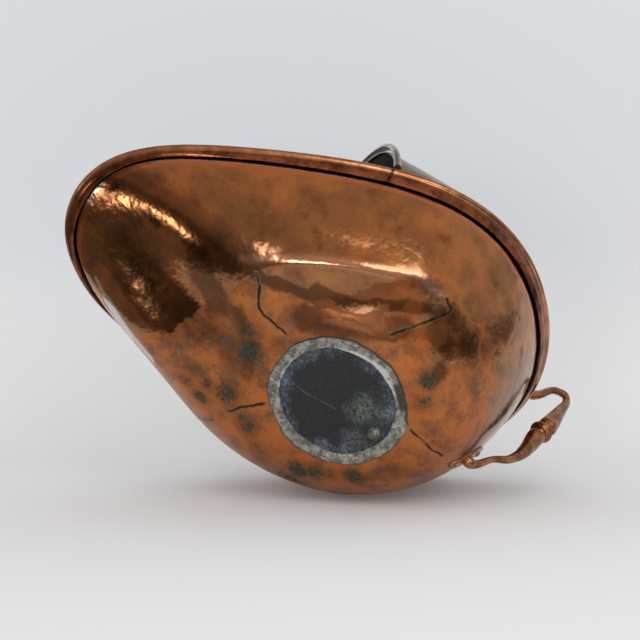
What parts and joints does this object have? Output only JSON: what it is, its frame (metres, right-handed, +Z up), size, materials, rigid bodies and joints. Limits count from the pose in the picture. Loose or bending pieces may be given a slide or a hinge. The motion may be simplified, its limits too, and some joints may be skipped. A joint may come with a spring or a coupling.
{
  "type": "coal scuttle",
  "caption": "Copper coal scuttle with an egg-shaped pouring mouth, a hood over its back half, a rolled rim, a cast rear handle and a carrying handle, resting on a solder ring.",
  "frame": {"origin": "middle of the underside of the base's solder ring, on the plane that the scuttle rests on", "axes": "+Z up; +X to the rear handle, -X to the pouring lip; +Y to the right of somebody who stands behind the rear handle"},
  "size_m": [0.4656, 0.3234, 0.2957],
  "materials": {
    "copper_body": "polished and hammered, worn",
    "copper_rim": "polished, worn",
    "copper_hood": "dull copper with grey tarnish",
    "copper_handle": "cast, brown with worn highlights",
    "copper_rivet": "worn",
    "solder": "dull grey solder",
    "iron_wire": "dark iron",
    "base_iron": "dark sheet iron with stains"
  },
  "bodies": {
    "root": {"body_shell": "copper_body", "base_plate": "base_iron", "base_solder_ring": "solder", "rim_moulding_front": "copper_rim", "rim_moulding_rear": "copper_rim", "rim_wire": "iron_wire", "rim_seam_solder": "solder", "rim_joint_solder": "solder", "hood_sheet": "copper_hood", "hood_edge_roll": "copper_hood", "hood_edge_wire": "iron_wire", "hood_seam_solder": "solder", "rear_handle_upper_arm": "copper_handle", "rear_handle_knop": "copper_handle", "rear_handle_lower_arm": "copper_handle", "rear_handle_tie_rod": "iron_wire", "rear_handle_rivets": "copper_rivet", "top_handle_front_arm": "copper_handle", "top_handle_knop": "copper_handle", "top_handle_rear_arm": "copper_handle", "top_handle_tie_rod": "iron_wire", "top_handle_rivets": "copper_rivet"}
  },
  "joints": []
}
